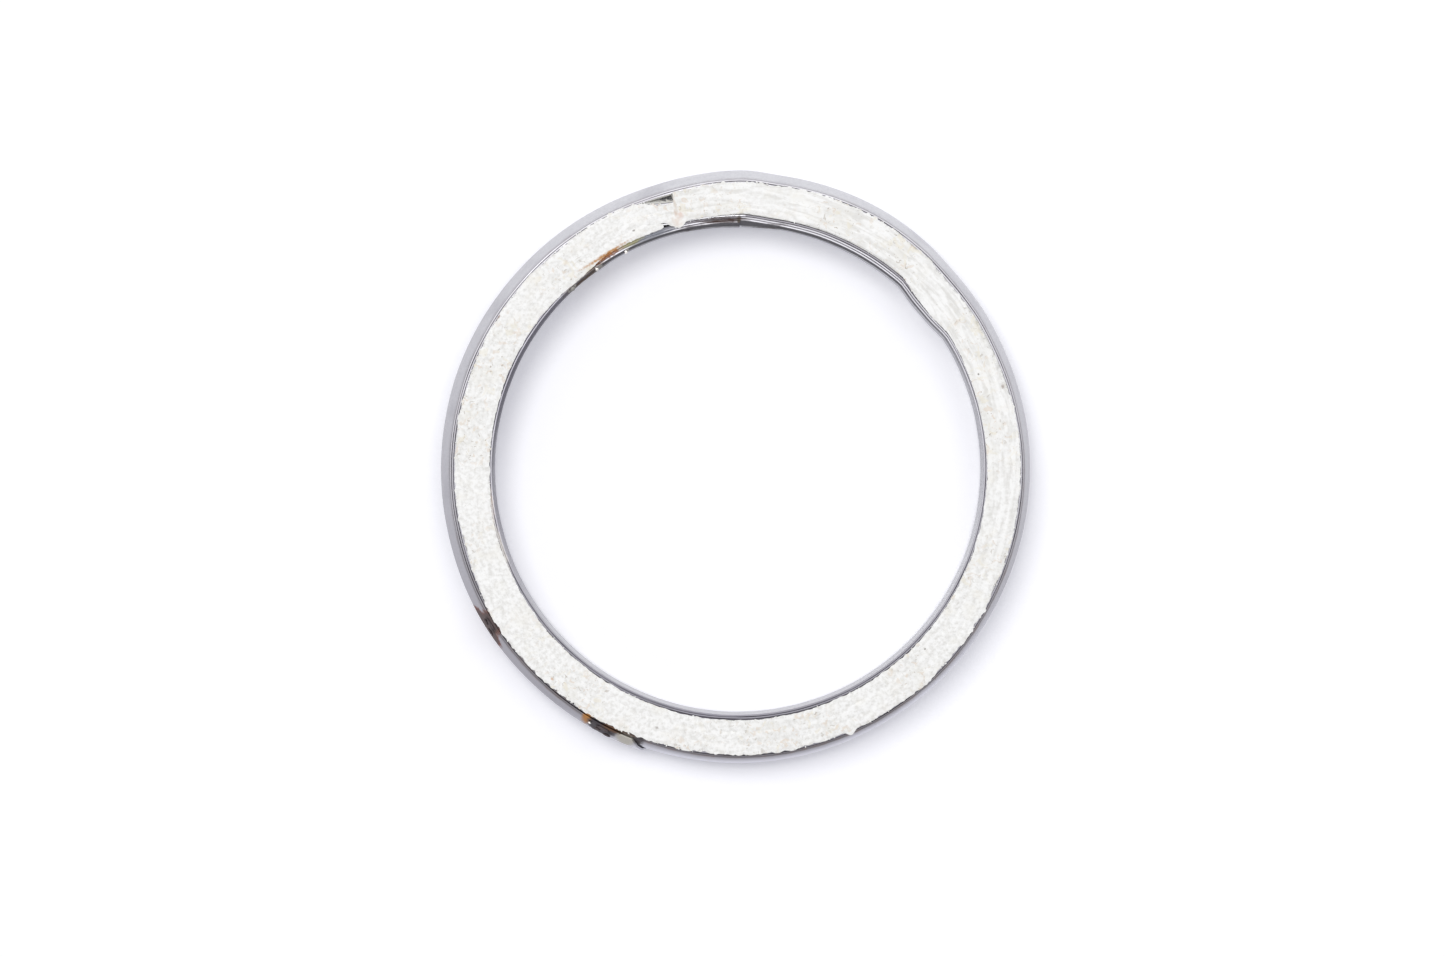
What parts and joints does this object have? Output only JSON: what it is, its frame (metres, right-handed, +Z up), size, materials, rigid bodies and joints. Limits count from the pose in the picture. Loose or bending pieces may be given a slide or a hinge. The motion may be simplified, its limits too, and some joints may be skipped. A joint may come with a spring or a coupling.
{
  "type": "exhaust gasket",
  "caption": "Round spiral-wound exhaust port gasket: a chevron steel strip wound with white fibre filler, bare steel at the bore and outside.",
  "frame": {"origin": "on the ring's axis, in the face that it lies on", "axes": "+Z up along the ring's axis, to the face that the picture shows; +X to the picture's right, +Y to its top"},
  "size_m": [0.0424, 0.0424, 0.0045],
  "materials": {
    "wound_steel": "bright rolled strip, dulled, with scorched weld marks",
    "white_fibre": "matt compressed fibre with a rough felted face"
  },
  "bodies": {
    "root": {"steel_winding": "wound_steel", "fibre_filler": "white_fibre"}
  },
  "joints": []
}
